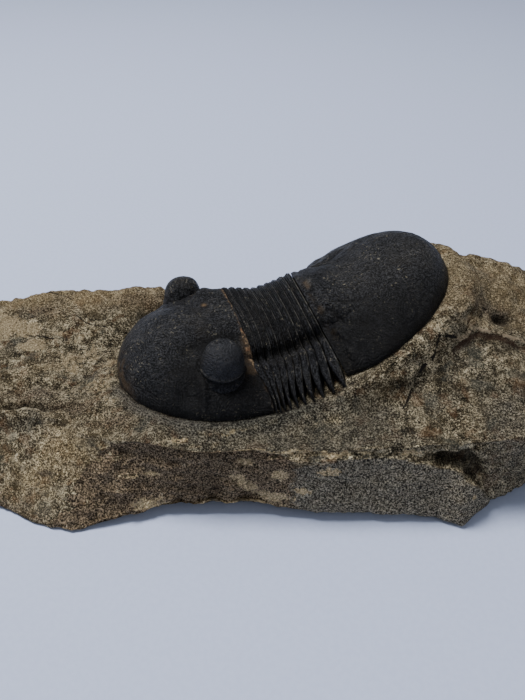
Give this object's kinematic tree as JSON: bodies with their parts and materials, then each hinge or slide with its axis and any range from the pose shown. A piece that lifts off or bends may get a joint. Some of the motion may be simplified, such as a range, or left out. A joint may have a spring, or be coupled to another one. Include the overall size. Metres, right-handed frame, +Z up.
{
  "type": "trilobite fossil",
  "caption": "Black trilobite fossil with smooth domed head and tail shields and a flexed, jointed thorax, lying on a rough block of limestone.",
  "frame": {"origin": "centre of the object's box in plan, at the height of the rock's flat underside", "axes": "+X along the rock from the trilobite's head to its tail, +Y towards the animal's right side and away from the viewer, +Z up"},
  "size_m": [0.143, 0.0715, 0.043],
  "materials": {
    "fossil": "black calcite shell, satin, with fine scratches and pale specks",
    "matrix": "rough broken limestone, olive brown with ochre, cream and dark grey patches"
  },
  "bodies": {
    "root": {"matrix_rock": "matrix", "cranidium": "fossil", "left_free_cheek": "fossil", "right_free_cheek": "fossil", "thorax_segment_01": "fossil", "thorax_segment_02": "fossil", "thorax_segment_03": "fossil", "thorax_segment_04": "fossil", "thorax_segment_05": "fossil", "thorax_segment_06": "fossil", "thorax_segment_07": "fossil", "thorax_segment_08": "fossil", "thorax_segment_09": "fossil", "thorax_segment_10": "fossil", "pygidium": "fossil"}
  },
  "joints": []
}
